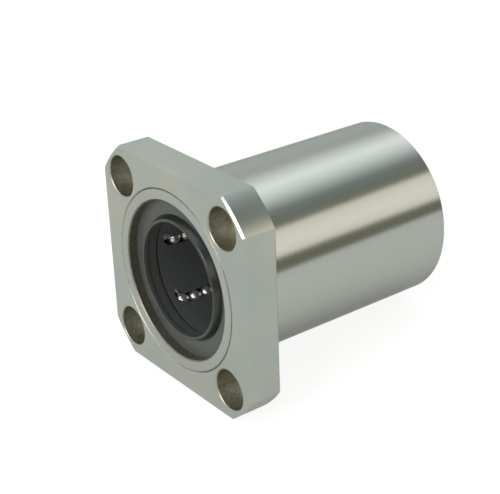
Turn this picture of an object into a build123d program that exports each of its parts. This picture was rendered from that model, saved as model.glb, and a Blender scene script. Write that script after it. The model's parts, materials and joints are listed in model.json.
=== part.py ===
from build123d import *
from math import cos, floor, hypot, pi, radians, sin, sqrt
import os

# Flanged linear bearing for a round shaft, in millimetres.
# The bore axis runs along +Y, the flange stands square to +Z, and the origin is the centre
# of the flange's mounting face, so the sleeve's body lies on the +Y side.

# Sleeve: the hardened outer cylinder
shaft_diameter = 25.0
sleeve_diameter = 40.0
sleeve_length = 59.0
sleeve_end_chamfer = 0.5
grinding_relief_width = 1.0
grinding_relief_depth = 0.25
shoulder_height = 0.925
mouth_chamfer = 0.25
shoulder_step = 0.5

# Flange: a square plate with its corners turned to a circle
flange_width = 50.0
flange_corner_margin = 5.5
flange_thickness = 8.0
flange_edge_chamfer = 0.5
bond_gap = 0.02
seam_chamfer = 0.2

# Screw holes of the flange, counterbored for socket head screws
bolt_circle_diameter = 51.0
bolt_count = 4
bolt_hole_diameter = 5.5
head_bore_diameter = 9.0
head_bore_depth = 5.1
head_bore_chamfer = 0.2

# Ball circuits
ball_diameter = 3.175
circuit_count = 6
first_row_angle = 50.5
lane_spread_angle = 16.0
return_rise = 0.8
raceway_clearance = 0.025
channel_clearance = 0.05
relief_clearance = 0.1
ball_gap = 0.02
train_slack = 1.0
row_starts = (1.3, 0.9, 0.55, 1.95, 0.8, 1.6)

# Cage
cage_shaft_clearance = 0.4
cage_land_clearance = 0.1
cage_end_wall = 0.5

# Parts of each end, counted inwards from the sleeve's end face
seal_recess = 2.25
seal_thickness = 1.05
snap_ring_thickness = 0.8
snap_ring_groove_depth = 0.6
snap_ring_width = 1.5
snap_ring_opening = 5.0
ring_clearance = 0.1
end_ring_thickness = 0.6
end_ring_bore_clearance = 1.25

# Seal lip: a raised bead with a short wiping land on the shaft
lip_recess = 0.75
lip_land_length = 0.6
lip_width = 0.6
lip_foot_width = 0.8
lip_round = 0.2
bead_round = 0.5
lip_back_clearance = 0.4
hub_width = 2.0

shaft_radius = shaft_diameter / 2
sleeve_radius = sleeve_diameter / 2
flange_corner_radius = bolt_circle_diameter / 2 + flange_corner_margin
ball_radius = ball_diameter / 2
raceway_radius = shaft_radius + ball_diameter + raceway_clearance
loaded_lane_radius = shaft_radius + ball_radius
return_lane_radius = loaded_lane_radius + return_rise
relief_radius = return_lane_radius + ball_radius + relief_clearance
pocket_radius = relief_radius + shoulder_height
channel_radius = ball_radius + channel_clearance

front_face = -flange_thickness
rear_face = sleeve_length - flange_thickness

snap_ring_recess = seal_recess + seal_thickness
end_ring_recess = snap_ring_recess + snap_ring_thickness
cage_recess = end_ring_recess + end_ring_thickness

# The two straight lanes of a circuit are parallel, so its loop lies in one plane.
# across is measured in that plane from the loop's centre line towards the return lane.
spread = radians(lane_spread_angle)
chord_along = return_lane_radius * cos(spread) - loaded_lane_radius
chord_across = return_lane_radius * sin(spread)
turn_radius = hypot(chord_along, chord_across) / 2
turn_recess = cage_recess + cage_end_wall + channel_radius + turn_radius
lane_front = front_face + turn_recess
lane_rear = rear_face - turn_recess
lane_length = lane_rear - lane_front
ball_pitch = ball_diameter + ball_gap
row_count = 1 + floor((lane_length - max(row_starts) - train_slack) / ball_pitch)


def station(end, recess):
    """Place along the axis of a point that lies recess inside one end face."""
    if end == "front":
        return front_face + recess
    return rear_face - recess


def turned(points):
    """Solid of revolution about the bore axis from (radius, place along the axis) points."""
    return revolve(make_face(Polyline(*points, close=True)), Axis.Y)


def bored_cylinder(outer_radius, inner_radius, start, stop):
    return turned([(inner_radius, start), (outer_radius, start), (outer_radius, stop), (inner_radius, stop)])


def bar_along_axis(radius, x, z, start, stop):
    """Round bar parallel to the bore axis, for the relief slots."""
    plane = Plane(origin=(x, start, z), z_dir=(0, 1, 0))
    return extrude(plane * Circle(radius), stop - start)


def polar(radius, angle):
    return radius * cos(radians(angle)), radius * sin(radians(angle))


# Sleeve

def sleeve_section():
    """Half section of the sleeve: outside, then the stepped bore from the rear end to the front."""
    groove_radius = pocket_radius + snap_ring_groove_depth
    outside = [
        (sleeve_radius - seam_chamfer, front_face),
        (sleeve_radius, front_face + seam_chamfer),
        (sleeve_radius, 0),
        (sleeve_radius - grinding_relief_depth, 0),
        (sleeve_radius - grinding_relief_depth, grinding_relief_width - grinding_relief_depth),
        (sleeve_radius, grinding_relief_width),
        (sleeve_radius, rear_face - sleeve_end_chamfer),
        (sleeve_radius - sleeve_end_chamfer, rear_face),
    ]
    bore = []
    for end in ("rear", "front"):
        steps = [
            (pocket_radius + mouth_chamfer, station(end, 0)),
            (pocket_radius, station(end, mouth_chamfer)),
            (pocket_radius, station(end, snap_ring_recess)),
            (groove_radius, station(end, snap_ring_recess)),
            (groove_radius, station(end, end_ring_recess)),
            (pocket_radius, station(end, end_ring_recess)),
            (pocket_radius, station(end, cage_recess)),
            (relief_radius, station(end, cage_recess)),
            (relief_radius, station(end, turn_recess - shoulder_step)),
            (raceway_radius, station(end, turn_recess)),
        ]
        bore += steps if end == "rear" else steps[::-1]
    return outside + bore


def outer_sleeve():
    """Ground cylinder with raceway lands, and a relief slot over each return lane."""
    sleeve = turned(sleeve_section())
    for circuit in range(circuit_count):
        x, z = polar(return_lane_radius, row_angle(circuit) - lane_spread_angle)
        slot_radius = ball_radius + relief_clearance
        sleeve -= bar_along_axis(slot_radius, x, z, lane_front - shoulder_step, lane_rear + shoulder_step)
    return sleeve


# Flange

def mounting_flange():
    """Square plate with turned corners and a bevel round both faces."""
    corner = flange_corner_radius
    bevel = flange_edge_chamfer
    disc = turned([
        (0, front_face), (corner - bevel, front_face), (corner, front_face + bevel),
        (corner, -bevel), (corner - bevel, 0), (0, 0),
    ])
    half = flange_width / 2
    profile = Polyline(
        (-half + bevel, front_face), (half - bevel, front_face), (half, front_face + bevel),
        (half, -bevel), (half - bevel, 0), (-half + bevel, 0), (-half, -bevel),
        (-half, front_face + bevel), close=True,
    )
    wide = extrude(make_face(profile), flange_width, both=True)
    flange = disc & wide & wide.rotate(Axis.Y, 90)
    bore_radius = sleeve_radius + bond_gap
    flange -= turned([
        (0, front_face), (bore_radius + seam_chamfer, front_face),
        (bore_radius, front_face + seam_chamfer), (bore_radius, 0), (0, 0),
    ])
    for hole in range(bolt_count):
        flange -= screw_hole((hole + 0.5) * 360 / bolt_count)
    return flange


def screw_hole(angle):
    """Clearance hole with a flat-bottomed counterbore from the front face."""
    through = bolt_hole_diameter / 2
    head = head_bore_diameter / 2
    floor_place = front_face + head_bore_depth
    tool = turned([
        (0, front_face), (head + head_bore_chamfer, front_face),
        (head, front_face + head_bore_chamfer), (head, floor_place),
        (through, floor_place), (through, 0), (0, 0),
    ])
    x, z = polar(bolt_circle_diameter / 2, angle)
    return Pos(x, 0, z) * tool


# Ball circuits

def row_angle(circuit):
    return first_row_angle + circuit * 360 / circuit_count


def circuit_plane(circuit):
    """Plane of one loop: x runs across towards the return lane, y along the bore, z outwards."""
    x_load, z_load = polar(loaded_lane_radius, row_angle(circuit))
    x_back, z_back = polar(return_lane_radius, row_angle(circuit) - lane_spread_angle)
    across = Vector(x_back - x_load, 0, z_back - z_load).normalized()
    outward = across.cross(Vector(0, 1, 0))
    origin = ((x_load + x_back) / 2, 0, (z_load + z_back) / 2)
    return Plane(origin=origin, x_dir=across, z_dir=outward)


def channel_profile(place):
    """Section of the ball channel at one lane: a round floor with straight walls that open outwards."""
    r = channel_radius
    wall = relief_radius - loaded_lane_radius
    outline = [
        Line((place - r, wall), (place - r, 0)),
        ThreePointArc((place - r, 0), (place, -r), (place + r, 0)),
        Line((place + r, 0), (place + r, wall)),
        Line((place + r, wall), (place - r, wall)),
    ]
    return make_face(outline)


def channel():
    """One loop of channel, in the loop's own plane: two straight lanes and two half turns."""
    section = Plane(origin=(0, lane_front, 0), x_dir=(1, 0, 0), z_dir=(0, -1, 0))
    loaded = extrude(section * channel_profile(-turn_radius), -lane_length)
    back = extrude(section * channel_profile(turn_radius), -lane_length)
    front_turn = revolve(section * channel_profile(turn_radius), Axis((0, lane_front, 0), (0, 0, -1)), 180)
    rear_section = Plane(origin=(0, lane_rear, 0), x_dir=(1, 0, 0), z_dir=(0, -1, 0))
    rear_turn = revolve(rear_section * channel_profile(turn_radius), Axis((0, lane_rear, 0), (0, 0, 1)), 180)
    return loaded + back + front_turn + rear_turn


def ball_cage():
    """Moulded tube with a channel for each circuit, open to the shaft along the loaded lane."""
    inner = shaft_radius + cage_shaft_clearance
    outer = raceway_radius - cage_land_clearance
    cage = bored_cylinder(outer, inner, station("front", cage_recess), station("rear", cage_recess))
    loop = channel()
    for circuit in range(circuit_count):
        cage -= circuit_plane(circuit).location * loop
    return cage


def loop_point(start, travel):
    """Point (across, along) of a loop after some travel forwards from a place in the loaded lane."""
    half_turn = pi * turn_radius
    if travel < start:
        return -turn_radius, lane_front + start - travel
    travel -= start
    if travel < half_turn:
        angle = travel / turn_radius
        return -turn_radius * cos(angle), lane_front - turn_radius * sin(angle)
    travel -= half_turn
    if travel < lane_length:
        return turn_radius, lane_front + travel
    travel -= lane_length
    if travel < half_turn:
        angle = travel / turn_radius
        return turn_radius * cos(angle), lane_rear + turn_radius * sin(angle)
    return -turn_radius, lane_rear - (travel - half_turn)


def gap_between(first, second):
    return hypot(first[0] - second[0], first[1] - second[1])


def next_travel(start, travel):
    """Travel at which the next ball of the train just clears the ball at this travel."""
    here = loop_point(start, travel)
    low, high = travel + ball_radius, travel + 2 * ball_pitch
    for _ in range(50):
        middle = (low + high) / 2
        if gap_between(here, loop_point(start, middle)) < ball_pitch:
            low = middle
        else:
            high = middle
    return high


def row_points(start):
    """Ball centres of a loaded row, from the front."""
    return [(-turn_radius, lane_front + start + ball * ball_pitch) for ball in range(row_count)]


def train_points(start):
    """Ball centres of the rest of the train: round the front turn, back, and round the rear turn."""
    loop_length = 2 * lane_length + 2 * pi * turn_radius
    row_end = loop_length - (row_count - 1) * ball_pitch
    points = []
    travel = next_travel(start, 0)
    while travel < row_end - ball_pitch - train_slack:
        points.append(loop_point(start, travel))
        travel = next_travel(start, travel)
    return points


def row_travel(start):
    """How far a loaded row can roll back before it meets the last ball of its train."""
    last_across, last_along = train_points(start)[-1]
    row_end = row_points(start)[-1][1]
    sideways = min(last_across + turn_radius, ball_pitch)
    meets = last_along - sqrt(ball_pitch ** 2 - sideways ** 2)
    return min(meets, lane_rear) - row_end


def balls(circuit, points):
    plane = circuit_plane(circuit)
    spheres = [Pos(*plane.from_local_coords((across, along, 0))) * Sphere(ball_radius) for across, along in points]
    return Compound(children=[solid for sphere in spheres for solid in sphere.solids()])


# Parts of each end

def seal(end):
    """Rubber ring: a flat web in the sleeve's pocket, a raised bead that wipes the shaft, and a hub
    inside the snap ring that reaches back to the end ring."""
    lip_outer = shaft_radius + lip_width
    back_radius = shaft_radius + lip_back_clearance
    section = make_face(Polyline(
        (pocket_radius, station(end, snap_ring_recess)),
        (pocket_radius, station(end, seal_recess)),
        (lip_outer + lip_foot_width, station(end, seal_recess)),
        (lip_outer, station(end, lip_recess)),
        (shaft_radius, station(end, lip_recess)),
        (shaft_radius, station(end, lip_recess + lip_round + lip_land_length)),
        (back_radius, station(end, seal_recess)),
        (back_radius, station(end, end_ring_recess)),
        (back_radius + hub_width, station(end, end_ring_recess)),
        (back_radius + hub_width, station(end, snap_ring_recess)),
        close=True,
    ))
    nose = station(end, lip_recess)
    for radius, rounding in ((shaft_radius, lip_round), (lip_outer, bead_round)):
        corner = min(section.vertices(), key=lambda corner: hypot(corner.X - radius, corner.Y - nose))
        section = fillet(corner, rounding)
    return revolve(section, Axis.Y)


def snap_ring(end):
    """Open spring ring that sits in the sleeve's groove."""
    outer = pocket_radius + snap_ring_groove_depth - ring_clearance
    start = station(end, snap_ring_recess)
    stop = station(end, end_ring_recess)
    ring = bored_cylinder(outer, outer - snap_ring_width, min(start, stop), max(start, stop))
    middle = (start + stop) / 2
    opening = Box(snap_ring_opening, 2 * snap_ring_thickness, sleeve_diameter)
    return ring - Pos(0, middle, -sleeve_radius) * opening


def end_ring(end):
    """Washer on the sleeve's inner shoulder that closes the end of the cage."""
    start = station(end, end_ring_recess)
    stop = station(end, cage_recess)
    inner = shaft_radius + end_ring_bore_clearance
    return bored_cylinder(pocket_radius - ring_clearance, inner, min(start, stop), max(start, stop))


def bearing_parts():
    parts = {
        "outer_sleeve": outer_sleeve(),
        "mounting_flange": mounting_flange(),
        "ball_cage": ball_cage(),
    }
    for circuit in range(circuit_count):
        start = row_starts[circuit % len(row_starts)]
        parts[f"loaded_balls_{circuit + 1}"] = balls(circuit, row_points(start))
        parts[f"return_balls_{circuit + 1}"] = balls(circuit, train_points(start))
    for end in ("front", "rear"):
        parts[f"{end}_seal"] = seal(end)
        parts[f"{end}_snap_ring"] = snap_ring(end)
        parts[f"{end}_end_ring"] = end_ring(end)
    return parts


os.makedirs("parts", exist_ok=True)
for name, shape in bearing_parts().items():
    export_step(shape, f"parts/{name}.step")

for circuit in range(circuit_count):
    print(f"row {circuit + 1} can roll back {row_travel(row_starts[circuit % len(row_starts)]):.3f} mm")
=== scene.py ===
import json
from math import atan2, cos, hypot, pi, radians, sin, tan

import bmesh
import bpy
from mathutils import Matrix, Vector


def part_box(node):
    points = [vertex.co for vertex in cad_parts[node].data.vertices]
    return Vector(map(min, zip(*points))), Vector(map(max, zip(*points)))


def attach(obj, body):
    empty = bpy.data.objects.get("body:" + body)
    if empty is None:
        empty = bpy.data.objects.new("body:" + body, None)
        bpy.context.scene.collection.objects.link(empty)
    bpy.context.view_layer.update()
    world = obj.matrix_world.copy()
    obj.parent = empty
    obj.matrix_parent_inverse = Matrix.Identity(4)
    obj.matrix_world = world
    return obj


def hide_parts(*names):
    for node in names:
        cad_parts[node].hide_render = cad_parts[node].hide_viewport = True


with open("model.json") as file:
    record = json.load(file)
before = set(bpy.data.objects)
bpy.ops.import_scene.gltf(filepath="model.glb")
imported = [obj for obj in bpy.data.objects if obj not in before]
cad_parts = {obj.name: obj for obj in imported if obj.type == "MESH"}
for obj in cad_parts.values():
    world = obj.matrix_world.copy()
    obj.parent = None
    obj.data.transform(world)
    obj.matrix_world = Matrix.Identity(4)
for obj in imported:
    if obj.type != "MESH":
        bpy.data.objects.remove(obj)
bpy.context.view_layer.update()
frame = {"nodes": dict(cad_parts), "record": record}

# Outer sleeve
# A hardened steel tube, turned, then ground on its outside and at both ends. Its bore is stepped:
# a pocket and a ring groove at each mouth, and between them the raceway with six relief slots.
MM = 0.001
ROUND_STEPS = 256
SLOT_STEPS = 48
MERGE = 1e-7
CUT_MERGE = 1e-8
TINY = 1e-6
SHARP_ANGLE = radians(24)
CIRCUITS = 6
FIRST_ROW_ANGLE = radians(50.5)
LANE_SPREAD = radians(16)

mounts = {mount["name"]: mount for mount in frame["record"]["mounts"]}
sleeve_low, sleeve_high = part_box("outer_sleeve")
flange_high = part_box("mounting_flange")[1]
seal_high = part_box("front_seal")[1]
snap_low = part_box("front_snap_ring")[0]
end_ring_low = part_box("front_end_ring")[0]
cage_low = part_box("ball_cage")[0]
FRONT = sleeve_low.y
REAR = sleeve_high.y
FLANGE_BACK = flange_high.y
SLEEVE_RADIUS = mounts["housing_seat"]["dims"]["r_mm"] * MM
SHAFT_RADIUS = mounts["shaft_bore"]["dims"]["r_mm"] * MM
POCKET_RADIUS = seal_high.x
SNAP_RECESS = snap_low.y - FRONT
END_RING_RECESS = end_ring_low.y - FRONT
CAGE_RECESS = cage_low.y - FRONT
GROOVE_DEPTH = 0.6 * MM
BALL_RADIUS = 3.175 * MM / 2
RELIEF_RADIUS = 16.575 * MM
RACEWAY_RADIUS = 15.7 * MM
RETURN_RADIUS = 14.8875 * MM
SLOT_RADIUS = RELIEF_RADIUS - RETURN_RADIUS
CAGE_END = 0.5 * MM
CHANNEL_PLAY = 0.05 * MM
TURN_RADIUS = hypot(
    RETURN_RADIUS * cos(LANE_SPREAD) - SHAFT_RADIUS - BALL_RADIUS, RETURN_RADIUS * sin(LANE_SPREAD),
) / 2
LANE_RECESS = CAGE_RECESS + CAGE_END + BALL_RADIUS + CHANNEL_PLAY + TURN_RADIUS
SHOULDER_STEP = 0.5 * MM
SEAM_CHAMFER = 0.2 * MM
MOUTH_CHAMFER = 0.25 * MM
END_CHAMFER = 0.5 * MM
GRINDING_RELIEF = 0.25 * MM
RELIEF_FLOOR = 0.75 * MM
RELIEF_WIDTH = 1.0 * MM


def station(end, recess):
    """Place along the axis of a point that lies recess inside one end of the sleeve."""
    return FRONT + recess if end == "front" else REAR - recess


def turn(mesh, outline, opening=0.0):
    """Turns a closed outline of (radius, along) points about the bore axis, all round or up to an opening."""
    corners = [mesh.verts.new((radius, along, 0)) for radius, along in outline]
    loop = [mesh.edges.new(pair) for pair in zip(corners, corners[1:] + corners[:1])]
    start = Matrix.Rotation(pi / 2 + opening / 2, 3, "Y")
    bmesh.ops.rotate(mesh, cent=(0, 0, 0), matrix=start, verts=corners)
    bmesh.ops.spin(
        mesh, geom=corners + loop, cent=(0, 0, 0), axis=(0, 1, 0), angle=2 * pi - opening,
        steps=ROUND_STEPS, use_merge=not opening,
    )
    if opening:
        bmesh.ops.holes_fill(mesh, edges=[edge for edge in mesh.edges if edge.is_boundary], sides=0)
    bmesh.ops.remove_doubles(mesh, verts=mesh.verts, dist=MERGE)
    bmesh.ops.recalc_face_normals(mesh, faces=mesh.faces)


def is_sharp(edge):
    return len(edge.link_faces) == 2 and edge.calc_face_angle() > SHARP_ANGLE


def shade(mesh):
    """Smooth shading that stays crisp at edges."""
    for face in mesh.faces:
        face.smooth = True
    for edge in mesh.edges:
        edge.smooth = not is_sharp(edge)


def place(name, mesh):
    """Puts a finished mesh into the scene as an object at the origin."""
    shade(mesh)
    data = bpy.data.meshes.new(name)
    mesh.to_mesh(data)
    mesh.free()
    piece = bpy.data.objects.new(name, data)
    bpy.context.scene.collection.objects.link(piece)
    return piece


def carve(piece, cutter):
    """Takes the cutter's volume out of a piece and shades the result again."""
    cut = piece.modifiers.new("cut", "BOOLEAN")
    cut.operation = "DIFFERENCE"
    cut.solver = "EXACT"
    cut.object = cutter
    bpy.context.view_layer.update()
    carved = bpy.data.meshes.new_from_object(piece.evaluated_get(bpy.context.evaluated_depsgraph_get()))
    piece.modifiers.remove(cut)
    bpy.data.objects.remove(cutter)
    mesh = bmesh.new()
    mesh.from_mesh(carved)
    bmesh.ops.remove_doubles(mesh, verts=mesh.verts, dist=CUT_MERGE)
    shade(mesh)
    mesh.to_mesh(carved)
    mesh.free()
    piece.data = carved


def sleeve_outline():
    """Half section of the sleeve: its outside, then the stepped bore from the rear mouth to the front one."""
    outline = [
        (SLEEVE_RADIUS - SEAM_CHAMFER, FRONT),
        (SLEEVE_RADIUS, FRONT + SEAM_CHAMFER),
        (SLEEVE_RADIUS, FLANGE_BACK),
        (SLEEVE_RADIUS - GRINDING_RELIEF, FLANGE_BACK),
        (SLEEVE_RADIUS - GRINDING_RELIEF, FLANGE_BACK + RELIEF_FLOOR),
        (SLEEVE_RADIUS, FLANGE_BACK + RELIEF_WIDTH),
        (SLEEVE_RADIUS, REAR - END_CHAMFER),
        (SLEEVE_RADIUS - END_CHAMFER, REAR),
    ]
    for end in ("rear", "front"):
        steps = [
            (POCKET_RADIUS + MOUTH_CHAMFER, station(end, 0)),
            (POCKET_RADIUS, station(end, MOUTH_CHAMFER)),
            (POCKET_RADIUS, station(end, SNAP_RECESS)),
            (POCKET_RADIUS + GROOVE_DEPTH, station(end, SNAP_RECESS)),
            (POCKET_RADIUS + GROOVE_DEPTH, station(end, END_RING_RECESS)),
            (POCKET_RADIUS, station(end, END_RING_RECESS)),
            (POCKET_RADIUS, station(end, CAGE_RECESS)),
            (RELIEF_RADIUS, station(end, CAGE_RECESS)),
            (RELIEF_RADIUS, station(end, LANE_RECESS - SHOULDER_STEP)),
            (RACEWAY_RADIUS, station(end, LANE_RECESS)),
        ]
        outline += steps if end == "rear" else steps[::-1]
    return outline


def relief_slots():
    """Six round bars that cut the relief slots over the return lanes."""
    mesh = bmesh.new()
    length = REAR - FRONT - 2 * (LANE_RECESS - SHOULDER_STEP)
    for circuit in range(CIRCUITS):
        angle = FIRST_ROW_ANGLE + circuit * 2 * pi / CIRCUITS - LANE_SPREAD
        spot = Vector((RETURN_RADIUS * cos(angle), (FRONT + REAR) / 2, RETURN_RADIUS * sin(angle)))
        bmesh.ops.create_cone(
            mesh, cap_ends=True, segments=SLOT_STEPS, radius1=SLOT_RADIUS, radius2=SLOT_RADIUS, depth=length,
            matrix=Matrix.Translation(spot) @ Matrix.Rotation(pi / 2, 4, "X"),
        )
    return place("slot_cutter", mesh)


def effect(name, inputs, outputs):
    """An empty shader node group with named number inputs and outputs."""
    group = bpy.data.node_groups.new(name, "ShaderNodeTree")
    for label, value in inputs.items():
        socket = group.interface.new_socket(label, in_out="INPUT", socket_type="NodeSocketFloat")
        socket.default_value = value
    for label in outputs:
        group.interface.new_socket(label, in_out="OUTPUT", socket_type="NodeSocketFloat")
    return group, group.nodes.new("NodeGroupInput"), group.nodes.new("NodeGroupOutput")


def math_node(tree, operation, first, second=0.0):
    """A Math node, each of whose inputs is a socket or a number."""
    node = tree.nodes.new("ShaderNodeMath")
    node.operation = operation
    for socket, value in zip(node.inputs, (first, second)):
        if isinstance(value, bpy.types.NodeSocket):
            tree.links.new(value, socket)
        else:
            socket.default_value = value
    return node.outputs[0]


def noise(tree, scale, detail=2.0):
    """Value of a cloudy noise that is fixed to the object."""
    on_object = tree.nodes.new("ShaderNodeTexCoord")
    cloud = tree.nodes.new("ShaderNodeTexNoise")
    cloud.inputs["Scale"].default_value = scale
    cloud.inputs["Detail"].default_value = detail
    tree.links.new(on_object.outputs["Object"], cloud.inputs["Vector"])
    return cloud.outputs[0]


def spread(tree, value, swing, least):
    """The value times a swing, on top of a least value."""
    return math_node(tree, "ADD", math_node(tree, "MULTIPLY", value, swing), least)


def grinding_marks():
    """Fine lines that run round the bore axis, with a slow unevenness: Height, and a Tone near 1."""
    group, inside, outside = effect(
        "grinding marks", {"Lines per metre": 9000.0, "Unevenness": 0.05}, ("Height", "Tone"),
    )
    on_object = group.nodes.new("ShaderNodeTexCoord")
    split = group.nodes.new("ShaderNodeSeparateXYZ")
    group.links.new(on_object.outputs["Object"], split.inputs[0])
    along = math_node(group, "MULTIPLY", split.outputs["Y"], inside.outputs["Lines per metre"])
    lines = group.nodes.new("ShaderNodeTexNoise")
    lines.noise_dimensions = "1D"
    lines.inputs["Detail"].default_value = 3.0
    group.links.new(along, lines.inputs["W"])
    both = math_node(group, "ADD", lines.outputs[0], noise(group, scale=90.0))
    centred = math_node(group, "SUBTRACT", both, 1.0)
    tone = spread(group, centred, swing=inside.outputs["Unevenness"], least=1.0)
    group.links.new(lines.outputs[0], outside.inputs["Height"])
    group.links.new(tone, outside.inputs["Tone"])
    return group


def new_material(name):
    material = bpy.data.materials.new(name)
    material.use_nodes = True
    return material, material.node_tree, material.node_tree.nodes["Principled BSDF"]


def add_group(tree, group, **values):
    """Places an effect in a material with its own values, named as its inputs are with _ for a space."""
    node = tree.nodes.new("ShaderNodeGroup")
    node.node_tree = group
    for label, value in values.items():
        node.inputs[label.replace("_", " ")].default_value = value
    return node


def blend(tree, share, first, second):
    """Colour that goes from the first to the second as the share rises."""
    node = tree.nodes.new("ShaderNodeMix")
    node.data_type = "RGBA"
    tree.links.new(share, node.inputs["Factor"])
    node.inputs["A"].default_value = first
    node.inputs["B"].default_value = second
    return node.outputs["Result"]


def tinted(tree, colour, tone):
    """The colour, a socket or plain values, made a little lighter or darker by tone."""
    node = tree.nodes.new("ShaderNodeVectorMath")
    node.operation = "SCALE"
    if isinstance(colour, bpy.types.NodeSocket):
        tree.links.new(colour, node.inputs[0])
    else:
        node.inputs[0].default_value = colour
    tree.links.new(tone, node.inputs["Scale"])
    return node.outputs[0]


def bumped(tree, height, depth):
    """A Bump node's normal for a height that is depth deep in metres."""
    bump = tree.nodes.new("ShaderNodeBump")
    bump.inputs["Distance"].default_value = depth
    tree.links.new(height, bump.inputs["Height"])
    return bump.outputs[0]


def finish(tree, shader, colour, tone, roughness, height, depth):
    """Gives a surface its colour and roughness, both uneven by tone, and a fine relief."""
    tree.links.new(tinted(tree, colour, tone), shader.inputs["Base Color"])
    tree.links.new(math_node(tree, "MULTIPLY", tone, roughness), shader.inputs["Roughness"])
    tree.links.new(bumped(tree, height, depth), shader.inputs["Normal"])


GRINDING = grinding_marks()
GROUND_GREY = (0.60, 0.61, 0.59)
GROUND_EDGE_TINT = (0.66, 0.66, 0.66, 1)
# The pocket's brown is darker than the bored steel's: painted shade on the sleeve's pocket wall, groove and
# mouth chamfer.
POCKET_SHADE_BROWN = (0.30, 0.29, 0.235)


def lined_steel(name, colour, roughness, lines, unevenness, depth):
    """Steel with fine lines round the bore axis, as grinding, turning or stamping leaves it."""
    material, tree, shader = new_material(name)
    marks = add_group(tree, GRINDING, Lines_per_metre=lines, Unevenness=unevenness).outputs
    shader.inputs["Metallic"].default_value = 1.0
    finish(tree, shader, colour, marks["Tone"], roughness, height=marks["Height"], depth=depth)
    return material


def ground_steel():
    material = lined_steel(
        "ground_steel", GROUND_GREY, roughness=0.16, lines=14000.0, unevenness=0.05, depth=0.0006 * MM,
    )
    material.node_tree.nodes["Principled BSDF"].inputs["Specular Tint"].default_value = GROUND_EDGE_TINT
    return material


def dull_steel(name, colour):
    """Dull, brownish steel, as a drill, a counterbore and a press fit leave it, in the colour given; the
    sleeve's pocket gets a darker one, which is painted shade.
    """
    material, tree, shader = new_material(name)
    speckle = noise(tree, scale=2000.0, detail=4.0)
    tone = spread(tree, speckle, swing=1.2, least=0.4)
    shader.inputs["Metallic"].default_value = 1.0
    finish(tree, shader, colour, tone, roughness=0.4, height=speckle, depth=0.03 * MM)
    return material


blank = bmesh.new()
turn(blank, sleeve_outline())
# The seam chamfer, a dark joint, and the mouth, groove and pocket wall take the second material: dull turned
# steel whose dark brown in the mouth is painted shade of the recess.
for face in blank.faces:
    spot = face.calc_center_median()
    reach = hypot(spot.x, spot.z)
    depth = min(spot.y - FRONT, REAR - spot.y)
    on_seam = reach > SLEEVE_RADIUS - SEAM_CHAMFER and 0 < spot.y - FRONT < SEAM_CHAMFER
    in_shaded_mouth = reach < POCKET_RADIUS + GROOVE_DEPTH + MOUTH_CHAMFER and TINY < depth < CAGE_RECESS
    face.material_index = int(on_seam or in_shaded_mouth)
sleeve = place("sleeve_body", blank)
carve(sleeve, relief_slots())
sleeve.data.materials.append(ground_steel())
sleeve.data.materials.append(dull_steel("shaded_pocket_steel", POCKET_SHADE_BROWN))
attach(sleeve, "bearing")
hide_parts("outer_sleeve")

# Mounting flange
# A square steel plate with its corners turned to a circle, bored for the sleeve and bonded to it.
# Four holes on a circle take socket head screws, each in a flat-bottomed counterbore.
FLANGE_HALF = flange_high.x
CORNER_RADIUS = 31 * MM
FLANGE_BEVEL = 0.5 * MM
BOND_GAP = 0.02 * MM
HOLE_SPACING = mounts["mounting_holes"]["dims"]["spacing_x_mm"] * MM
SCREW_RADIUS = mounts["mounting_holes"]["dims"]["hole_r_mm"] * MM
HEAD_RADIUS = 4.5 * MM
HEAD_DEPTH = 5.1 * MM
HEAD_CHAMFER = 0.2 * MM
CORNER_STEPS = 720
HOLE_STEPS = 96


def flange_plate():
    """The plate before it is bored: a disc with four flats, and a bevel round both faces."""
    mesh = bmesh.new()
    bmesh.ops.create_circle(mesh, cap_ends=True, segments=CORNER_STEPS, radius=CORNER_RADIUS)
    for side in ((1, 0, 0), (-1, 0, 0), (0, 1, 0), (0, -1, 0)):
        everything = mesh.verts[:] + mesh.edges[:] + mesh.faces[:]
        bmesh.ops.bisect_plane(
            mesh, geom=everything, plane_co=Vector(side) * FLANGE_HALF, plane_no=side, clear_outer=True,
        )
    bmesh.ops.rotate(mesh, cent=(0, 0, 0), matrix=Matrix.Rotation(pi / 2, 3, "X"), verts=mesh.verts)
    bmesh.ops.translate(mesh, vec=(0, FRONT, 0), verts=mesh.verts)
    grown = bmesh.ops.extrude_face_region(mesh, geom=mesh.faces[:], use_keep_orig=True)
    moved = [item for item in grown["geom"] if isinstance(item, bmesh.types.BMVert)]
    bmesh.ops.translate(mesh, vec=(0, FLANGE_BACK - FRONT, 0), verts=moved)
    rim = [edge for edge in mesh.edges if abs(edge.verts[0].co.y - edge.verts[1].co.y) < TINY]
    bmesh.ops.bevel(
        mesh, geom=rim, offset=FLANGE_BEVEL, offset_type="OFFSET", affect="EDGES", segments=1,
        profile=0.5, clamp_overlap=True, material=-1,
    )
    return mesh


def bore_wall(mesh, x, z, steps, segments):
    """A stepped round wall about an axis at (x, z), through (radius, along) circles, without its two ends."""
    rings, walls = [], []
    for radius, along in steps:
        spot = Matrix.Translation((x, along, z)) @ Matrix.Rotation(pi / 2, 4, "X")
        circle = bmesh.ops.create_circle(mesh, cap_ends=False, segments=segments, radius=radius, matrix=spot)
        rings.append(list({edge for corner in circle["verts"] for edge in corner.link_edges}))
    for ring, following in zip(rings, rings[1:]):
        walls += bmesh.ops.bridge_loops(mesh, edges=ring + following)["faces"]
    return walls


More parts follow.
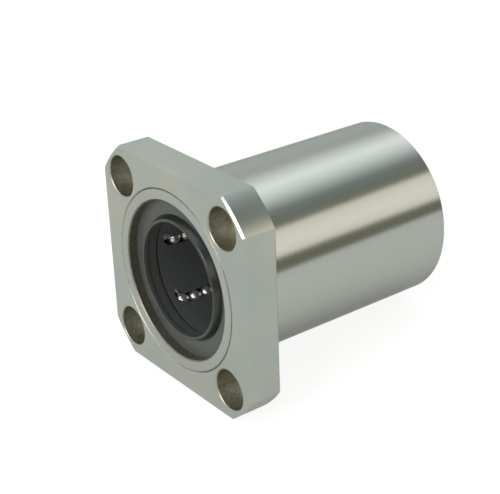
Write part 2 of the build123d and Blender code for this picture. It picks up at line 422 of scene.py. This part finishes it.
def bored_flange():
    """The plate with its bore for the sleeve and four counterbored screw holes."""
    mesh = flange_plate()
    ends = [face for face in mesh.faces if len(face.verts) > 4]
    bmesh.ops.delete(mesh, geom=ends, context="FACES_ONLY")
    radius = SLEEVE_RADIUS + BOND_GAP
    seam = [(radius + SEAM_CHAMFER, FRONT), (radius, FRONT + SEAM_CHAMFER), (radius, FLANGE_BACK)]
    for face in bore_wall(mesh, 0, 0, seam, ROUND_STEPS):
        face.material_index = 1
    screw = [
        (HEAD_RADIUS + HEAD_CHAMFER, FRONT), (HEAD_RADIUS, FRONT + HEAD_CHAMFER),
        (HEAD_RADIUS, FRONT + HEAD_DEPTH), (SCREW_RADIUS, FRONT + HEAD_DEPTH),
        (SCREW_RADIUS, FLANGE_BACK),
    ]
    for x in (-HOLE_SPACING / 2, HOLE_SPACING / 2):
        for z in (-HOLE_SPACING / 2, HOLE_SPACING / 2):
            for face in bore_wall(mesh, x, z, screw, HOLE_STEPS):
                face.material_index = 1
    for face_place in (FRONT, FLANGE_BACK):
        open_edges = [edge for edge in mesh.edges if edge.is_boundary
                      and all(abs(corner.co.y - face_place) < TINY for corner in edge.verts)]
        bmesh.ops.triangle_fill(mesh, use_beauty=True, use_dissolve=False, edges=open_edges)
    bmesh.ops.recalc_face_normals(mesh, faces=mesh.faces)
    return place("flange_plate", mesh)


WARM_FILM = (0.64, 0.625, 0.575, 1)
COOL_FILM = (0.53, 0.575, 0.565, 1)
SATIN_EDGE_TINT = (0.9, 0.9, 0.9, 1)
BORED_BROWN = (0.50, 0.48, 0.41)


def satin_steel():
    """Milled and ground plate, with a faint film in warm and cool patches."""
    material, tree, shader = new_material("satin_steel")
    grain = noise(tree, scale=2500.0, detail=3.0)
    both = math_node(tree, "ADD", grain, noise(tree, scale=120.0))
    tone = spread(tree, both, swing=0.06, least=0.94)
    patches = math_node(tree, "SUBTRACT", noise(tree, scale=45.0, detail=1.0), 0.5)
    film = blend(tree, spread(tree, patches, swing=2.5, least=0.5), WARM_FILM, COOL_FILM)
    shader.inputs["Metallic"].default_value = 1.0
    shader.inputs["Specular Tint"].default_value = SATIN_EDGE_TINT
    finish(tree, shader, film, tone, roughness=0.25, height=grain, depth=0.003 * MM)
    return material


flange = bored_flange()
flange.data.materials.append(satin_steel())
flange.data.materials.append(dull_steel("bored_steel", BORED_BROWN))
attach(flange, "bearing")
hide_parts("mounting_flange")

# Seals
# A rubber ring at each mouth, moulded in one: a flat web in the sleeve's pocket, a raised bead
# whose inner land wipes the shaft, and a hub that reaches back inside the snap ring.
SEAL_RECESS = 2.25 * MM
LIP_RECESS = 0.75 * MM
LIP_WIDTH = 0.6 * MM
LIP_FOOT = 0.8 * MM
LIP_ROUND = 0.2 * MM
BEAD_ROUND = 0.5 * MM
LIP_LAND = 0.6 * MM
LIP_BACK = 0.4 * MM
HUB_WIDTH = 2 * MM
LIP_OUTER = SHAFT_RADIUS + LIP_WIDTH
LIP_INNER = SHAFT_RADIUS + LIP_BACK
ARC_STEPS = 8
RUBBER_GREY = (0.10, 0.102, 0.095)
# The bead's near-black base is painted shade from the pocket wall beside it, under a clear oil film that is
# real.
OIL_AND_SHADE_BLACK = (0.012, 0.015, 0.012)
# The inner grey is darker than the web: painted shade on the lip's land and back, deep in the bore.
INNER_SHADE_GREY = (0.075, 0.08, 0.078)
SHEEN = 0.5
SHEEN_UNDER_OIL = 0.1
OIL_IOR = 1.7
OIL_ROUGHNESS = 0.24


def rounded(before, corner, after, radius):
    """Points of the arc that rounds an outline's corner between two straight sides."""
    corner = Vector(corner)
    sides = [(Vector(point) - corner).normalized() for point in (before, after)]
    half = sides[0].angle(sides[1]) / 2
    centre = corner + (sides[0] + sides[1]).normalized() * radius / sin(half)
    first = corner + sides[0] * radius / tan(half) - centre
    last = corner + sides[1] * radius / tan(half) - centre
    turns = [first.slerp(last, step / ARC_STEPS).normalized() for step in range(ARC_STEPS + 1)]
    return [tuple(centre + turned * radius) for turned in turns]


def seal(end):
    """The ring, whose bead takes the second material and whose land and back take the third; both are darker
    than the web as painted shade, the bead under a clear oil film.
    """
    foot = (LIP_OUTER + LIP_FOOT, station(end, SEAL_RECESS))
    bead = (LIP_OUTER, station(end, LIP_RECESS))
    edge = (SHAFT_RADIUS, station(end, LIP_RECESS))
    land = (SHAFT_RADIUS, station(end, LIP_RECESS + LIP_ROUND + LIP_LAND))
    outline = [
        (POCKET_RADIUS, station(end, SNAP_RECESS)),
        (POCKET_RADIUS, station(end, SEAL_RECESS)),
        foot,
        *rounded(foot, bead, edge, BEAD_ROUND),
        *rounded(bead, edge, land, LIP_ROUND),
        land,
        (LIP_INNER, station(end, SEAL_RECESS)),
        (LIP_INNER, station(end, END_RING_RECESS)),
        (LIP_INNER + HUB_WIDTH, station(end, END_RING_RECESS)),
        (LIP_INNER + HUB_WIDTH, station(end, SNAP_RECESS)),
    ]
    mesh = bmesh.new()
    turn(mesh, outline)
    for face in mesh.faces:
        spot = face.calc_center_median()
        reach = hypot(spot.x, spot.z)
        depth = min(spot.y - FRONT, REAR - spot.y)
        # The land and back inside the lip take the third material, whose darker grey is painted shade; the
        # bead and flank take the second, darkened as painted shade under its oil.
        inside = reach < LIP_INNER and depth > LIP_RECESS + LIP_ROUND
        face.material_index = 2 if inside else int(reach < LIP_OUTER + LIP_FOOT)
    return place(f"{end}_seal_ring", mesh)


def rubber(name, colour, roughness, oiled=False):
    """Moulded rubber, dry or with a clear film of oil."""
    material, tree, shader = new_material(name)
    grain = noise(tree, scale=3000.0, detail=4.0)
    tone = spread(tree, noise(tree, scale=150.0), swing=0.3, least=0.85)
    finish(tree, shader, colour, tone, roughness, height=grain, depth=0.008 * MM)
    shader.inputs["Specular IOR Level"].default_value = SHEEN_UNDER_OIL if oiled else SHEEN
    if oiled:
        shader.inputs["Coat Weight"].default_value = 1.0
        shader.inputs["Coat IOR"].default_value = OIL_IOR
        shader.inputs["Coat Roughness"].default_value = OIL_ROUGHNESS
    return material


RUBBER = rubber("rubber", RUBBER_GREY, roughness=0.33)
# Bead and flank: a clear oil film over a near-black base, which is painted shade.
OIL_AND_SHADE_RUBBER = rubber("oiled_rubber_with_painted_shade", OIL_AND_SHADE_BLACK, roughness=0.36, oiled=True)
INNER_SHADE_RUBBER = rubber("inner_rubber_painted_shade", INNER_SHADE_GREY, roughness=0.6)
for end in ("front", "rear"):
    ring = seal(end)
    for material in (RUBBER, OIL_AND_SHADE_RUBBER, INNER_SHADE_RUBBER):
        ring.data.materials.append(material)
    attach(ring, "bearing")
    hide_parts(f"{end}_seal")

# Snap rings
# An open ring of dark spring steel behind each seal, bent from flat strip and sprung into the
# sleeve's groove, where it holds the end ring.
RING_PLAY = 0.1 * MM
SNAP_WIDTH = 1.5 * MM
SNAP_OPENING = 5 * MM
SOFT_EDGE = 0.06 * MM
SPRING_GREY = (0.30, 0.30, 0.31)


def soften(mesh):
    """Breaks the sharp edges with a narrow round, as a deburred edge has."""
    bmesh.ops.bevel(
        mesh, geom=[edge for edge in mesh.edges if is_sharp(edge)], offset=SOFT_EDGE, offset_type="OFFSET",
        affect="EDGES", segments=2, profile=0.5, clamp_overlap=True, material=-1,
    )


def flat_ring(name, outer, inner, start, stop, opening=0.0):
    """A flat ring of square section between two places along the axis, with softened edges."""
    mesh = bmesh.new()
    turn(mesh, [(inner, start), (outer, start), (outer, stop), (inner, stop)], opening)
    soften(mesh)
    return place(name, mesh)


def snap_ring(end):
    outer = POCKET_RADIUS + GROOVE_DEPTH - RING_PLAY
    return flat_ring(
        f"{end}_snap", outer, outer - SNAP_WIDTH, station(end, SNAP_RECESS), station(end, END_RING_RECESS),
        opening=SNAP_OPENING / outer,
    )


SPRING_STEEL = lined_steel(
    "spring_steel", SPRING_GREY, roughness=0.4, lines=5000.0, unevenness=0.15, depth=0.002 * MM,
)
for end in ("front", "rear"):
    ring = snap_ring(end)
    ring.data.materials.append(SPRING_STEEL)
    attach(ring, "bearing")
    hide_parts(f"{end}_snap_ring")

# End rings
# A stamped steel washer on the sleeve's inner shoulder closes each end of the cage, and the snap
# ring keeps it there.
END_RING_BORE = 1.25 * MM
WASHER_GREY = (0.45, 0.45, 0.46)


def end_ring(end):
    return flat_ring(
        f"{end}_washer", POCKET_RADIUS - RING_PLAY, SHAFT_RADIUS + END_RING_BORE,
        station(end, END_RING_RECESS), station(end, CAGE_RECESS),
    )


WASHER_STEEL = lined_steel(
    "washer_steel", WASHER_GREY, roughness=0.35, lines=3000.0, unevenness=0.15, depth=0.002 * MM,
)
for end in ("front", "rear"):
    ring = end_ring(end)
    ring.data.materials.append(WASHER_STEEL)
    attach(ring, "bearing")
    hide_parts(f"{end}_end_ring")

# Ball cage
# A black moulded tube that guides the balls, held in the sleeve between the end rings. Its channels
# open to the shaft along the loaded lanes.
RESIN_BLACK = (0.10, 0.107, 0.11)


def merged_copy(name, node):
    """A copy of a CAD node's mesh with its loose triangles joined, so that it shades smoothly."""
    mesh = bmesh.new()
    mesh.from_mesh(frame["nodes"][node].data)
    bmesh.ops.remove_doubles(mesh, verts=mesh.verts, dist=MERGE)
    return place(name, mesh)


def cage_resin():
    material, tree, shader = new_material("cage_resin")
    grain = noise(tree, scale=1800.0, detail=3.0)
    tone = spread(tree, grain, swing=0.4, least=0.8)
    finish(tree, shader, RESIN_BLACK, tone, roughness=0.45, height=grain, depth=0.006 * MM)
    return material


cage = merged_copy("cage_tube", "ball_cage")
cage.data.materials.append(cage_resin())
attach(cage, "bearing")
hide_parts("ball_cage")

# Balls
# Polished steel balls in six endless trains. The straight row that touches the shaft rolls as one
# piece, and the balls in the turns and the return lane stay with the cage.
BALL_GREY = (0.80, 0.80, 0.80)
BALL_ROUGHNESS = 0.12
OILY_METAL = 0.85


def polished_steel():
    """Bright steel under a trace of oil, without any relief."""
    material, tree, shader = new_material("polished_steel")
    tone = spread(tree, noise(tree, scale=700.0), swing=0.08, least=0.96)
    shader.inputs["Metallic"].default_value = OILY_METAL
    tree.links.new(tinted(tree, BALL_GREY, tone), shader.inputs["Base Color"])
    tree.links.new(math_node(tree, "MULTIPLY", tone, BALL_ROUGHNESS), shader.inputs["Roughness"])
    return material


POLISHED = polished_steel()
for circuit in range(1, CIRCUITS + 1):
    row = merged_copy(f"ball_row_{circuit}", f"loaded_balls_{circuit}")
    train = merged_copy(f"ball_train_{circuit}", f"return_balls_{circuit}")
    for balls, body, node in ((row, f"ball_row_{circuit}", f"loaded_balls_{circuit}"),
                              (train, "bearing", f"return_balls_{circuit}")):
        balls.data.materials.append(POLISHED)
        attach(balls, body)
        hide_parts(node)

# Camera
# It looks at the flange's outer face from the right and above, as the photograph does, with the
# same slight roll. Its place and lens were fitted to the outlines and circles in the photograph.
CAMERA_SPOT = Vector((0.20574, -0.13982, 0.12254))
VIEW_AZIMUTH = radians(53.59)
VIEW_ELEVATION = radians(25.32)
VIEW_ROLL = radians(-2.19)
LENS = 94.5
SENSOR_WIDTH = 36
NEAREST = 0.01

back = Vector((
    sin(VIEW_AZIMUTH) * cos(VIEW_ELEVATION), -cos(VIEW_AZIMUTH) * cos(VIEW_ELEVATION), sin(VIEW_ELEVATION),
))
level = Vector((0, 0, 1)).cross(back).normalized()
upward = back.cross(level)
right = cos(VIEW_ROLL) * level + sin(VIEW_ROLL) * upward
top = cos(VIEW_ROLL) * upward - sin(VIEW_ROLL) * level
camera_data = bpy.data.cameras.new("camera")
camera_data.lens = LENS
camera_data.sensor_width = SENSOR_WIDTH
camera_data.clip_start = NEAREST
camera = bpy.data.objects.new("camera", camera_data)
bpy.context.scene.collection.objects.link(camera)
camera.matrix_world = Matrix.Translation(CAMERA_SPOT) @ Matrix((right, top, back)).transposed().to_4x4()
bpy.context.scene.camera = camera

# Floor
# A pale surface under the bearing, which rests on the flange's lower rear edge and on the rim of the
# sleeve's far end, so the floor leans a little to the bore axis.
REST_FRONT = Vector((0, FLANGE_BACK - FLANGE_BEVEL, -FLANGE_HALF))
REST_REAR = Vector((0, REAR - END_CHAMFER, -SLEEVE_RADIUS))
FLOOR_HALF = 0.54
FLOOR_SHIFT = Vector((-0.265, 0, 0))
FLOOR_DROP = 0.02 * MM
FLOOR_WHITE = (0.9, 0.9, 0.9, 1)
FLOOR_ROUGHNESS = 0.9
GLOW_SEEN = (1, 1, 1, 1)
GLOW_IN_METAL = (0.96, 1.0, 0.91, 1)
STRENGTH_SEEN = 1.22
STRENGTH_IN_METAL = 0.58
SHARE_SEEN = 0.7
SHARE_IN_METAL = 0.55


def mixed_shaders(tree, share, first, second, outcome):
    """Leads two shaders, mixed by a share, into the tree's outcome."""
    mix = tree.nodes.new("ShaderNodeMixShader")
    tree.links.new(share, mix.inputs["Fac"])
    tree.links.new(first.outputs[0], mix.inputs[1])
    tree.links.new(second.outputs[0], mix.inputs[2])
    tree.links.new(mix.outputs[0], outcome.inputs["Surface"])


def floor_material():
    """Matt white that takes the shadow, with a share of its own light for the eye and for the metal."""
    material, tree, shader = new_material("pale_floor")
    shader.inputs["Base Color"].default_value = FLOOR_WHITE
    shader.inputs["Roughness"].default_value = FLOOR_ROUGHNESS
    shader.inputs["Specular IOR Level"].default_value = 0.0
    glow = tree.nodes.new("ShaderNodeEmission")
    path = tree.nodes.new("ShaderNodeLightPath")
    seen = path.outputs["Is Camera Ray"]
    in_metal = math_node(tree, "ADD", path.outputs["Is Glossy Ray"], path.outputs["Is Transmission Ray"])
    strength = math_node(tree, "ADD", math_node(tree, "MULTIPLY", seen, STRENGTH_SEEN),
                         math_node(tree, "MULTIPLY", in_metal, STRENGTH_IN_METAL))
    share = math_node(tree, "ADD", math_node(tree, "MULTIPLY", seen, SHARE_SEEN),
                      math_node(tree, "MULTIPLY", in_metal, SHARE_IN_METAL))
    tree.links.new(blend(tree, seen, GLOW_IN_METAL, GLOW_SEEN), glow.inputs["Color"])
    tree.links.new(strength, glow.inputs["Strength"])
    mixed_shaders(tree, share, shader, glow, tree.nodes["Material Output"])
    return material


def pale_floor():
    mesh = bmesh.new()
    bmesh.ops.create_grid(mesh, x_segments=1, y_segments=1, size=FLOOR_HALF)
    slope = atan2(REST_REAR.z - REST_FRONT.z, REST_REAR.y - REST_FRONT.y)
    bmesh.ops.rotate(mesh, cent=(0, 0, 0), matrix=Matrix.Rotation(slope, 3, "X"), verts=mesh.verts)
    bmesh.ops.translate(mesh, vec=REST_FRONT + FLOOR_SHIFT - Vector((0, 0, FLOOR_DROP)), verts=mesh.verts)
    return place("floor", mesh)


floor = pale_floor()
floor.data.materials.append(floor_material())

# Studio
# Long panels run beside the bearing, so a polished bar shows them as bands along its length: a warm
# panel at the right between two dark gaps, a soft white one overhead, and grey all round.
SKEW = 42.0
SKEW_STARTS = 10.0
SKEW_IS_FULL = 92.0
USUAL_LEAN = 0.77
LEAN_LIMIT = 0.3
LEAST_REACH = 0.2
FRONT_LIFT = 0.12
LAMP_SPOT = Vector((0.25, -0.85, 0.46))
LAMP_WIDTH = 0.4
LAMP_POWER = 2.0

# Each band is an angle about the bore axis, in degrees from the right, and the light from there.
BANDS = [
    (-180, (0.38, 0.41, 0.38)),
    (-150, (0.36, 0.38, 0.36)),
    (-95, (0.32, 0.33, 0.29)),
    (-60, (0.46, 0.49, 0.45)),
    (-30, (0.55, 0.58, 0.54)),
    (-4, (0.17, 0.17, 0.125)),
    (12.5, (0.17, 0.17, 0.125)),
    (16.5, (0.93, 0.90, 0.79)),
    (29, (1.04, 1.01, 0.89)),
    (48, (0.93, 0.90, 0.78)),
    (52, (0.19, 0.20, 0.155)),
    (73, (0.23, 0.27, 0.25)),
    (93, (0.84, 0.90, 0.89)),
    (109, (1.16, 1.23, 1.21)),
    (123, (0.88, 0.93, 0.90)),
    (138, (0.57, 0.61, 0.57)),
    (150, (0.56, 0.61, 0.57)),
    (165, (0.66, 0.71, 0.67)),
    (179.9, (0.68, 0.72, 0.68)),
]


def studio_world():
    """World lit by the bands, turned a little with the lean along the bore, and white to the camera."""
    world = bpy.data.worlds.new("studio")
    world.use_nodes = True
    tree = world.node_tree
    direction = tree.nodes.new("ShaderNodeTexCoord")
    split = tree.nodes.new("ShaderNodeSeparateXYZ")
    tree.links.new(direction.outputs["Generated"], split.inputs[0])
    x, y, z = split.outputs
    angle = math_node(tree, "DEGREES", math_node(tree, "ARCTAN2", z, x))
    reach = math_node(tree, "SQRT", math_node(tree, "ADD", math_node(tree, "MULTIPLY", x, x),
                                              math_node(tree, "MULTIPLY", z, z)))
    lean = math_node(tree, "DIVIDE", y, math_node(tree, "MAXIMUM", reach, LEAST_REACH))
    offset = math_node(tree, "SUBTRACT", lean, USUAL_LEAN)
    skew = tree.nodes.new("ShaderNodeMapRange")
    skew.inputs["From Min"].default_value = SKEW_STARTS
    skew.inputs["From Max"].default_value = SKEW_IS_FULL
    skew.inputs["To Max"].default_value = SKEW
    tree.links.new(angle, skew.inputs["Value"])
    clipped = math_node(tree, "MINIMUM", math_node(tree, "MAXIMUM", offset, -LEAN_LIMIT), LEAN_LIMIT)
    shifted = math_node(tree, "SUBTRACT", angle, math_node(tree, "MULTIPLY", skew.outputs[0], clipped))
    share = math_node(tree, "DIVIDE", math_node(tree, "ADD", shifted, 180.0), 360.0)
    ramp = tree.nodes.new("ShaderNodeValToRGB")
    tree.links.new(share, ramp.inputs["Fac"])
    stops = ramp.color_ramp.elements
    while len(stops) < len(BANDS):
        stops.new(0.5)
    for stop, (degrees, colour) in zip(stops, BANDS):
        stop.position = (degrees + 180) / 360
        stop.color = (*colour, 1)
    studio = tree.nodes["Background"]
    tree.links.new(ramp.outputs["Color"], studio.inputs["Color"])
    ahead = math_node(tree, "MAXIMUM", math_node(tree, "MULTIPLY", y, -1.0), 0.0)
    tree.links.new(spread(tree, ahead, swing=FRONT_LIFT, least=1.0), studio.inputs["Strength"])
    white = tree.nodes.new("ShaderNodeBackground")
    white.inputs["Color"].default_value = (1, 1, 1, 1)
    path = tree.nodes.new("ShaderNodeLightPath")
    mixed_shaders(tree, path.outputs["Is Camera Ray"], studio, white, tree.nodes["World Output"])
    return world


def front_lamp():
    """A small round lamp ahead of the flange, which draws the bright lines on its bevels."""
    light = bpy.data.lights.new("front_lamp", "AREA")
    light.shape = "DISK"
    light.size = LAMP_WIDTH
    light.energy = LAMP_POWER
    lamp = bpy.data.objects.new("front_lamp", light)
    bpy.context.scene.collection.objects.link(lamp)
    aim = LAMP_SPOT.to_track_quat("Z", "Y").to_matrix().to_4x4()
    lamp.matrix_world = Matrix.Translation(LAMP_SPOT) @ aim


bpy.context.scene.world = studio_world()
front_lamp()
bpy.context.scene.view_settings.view_transform = "Standard"
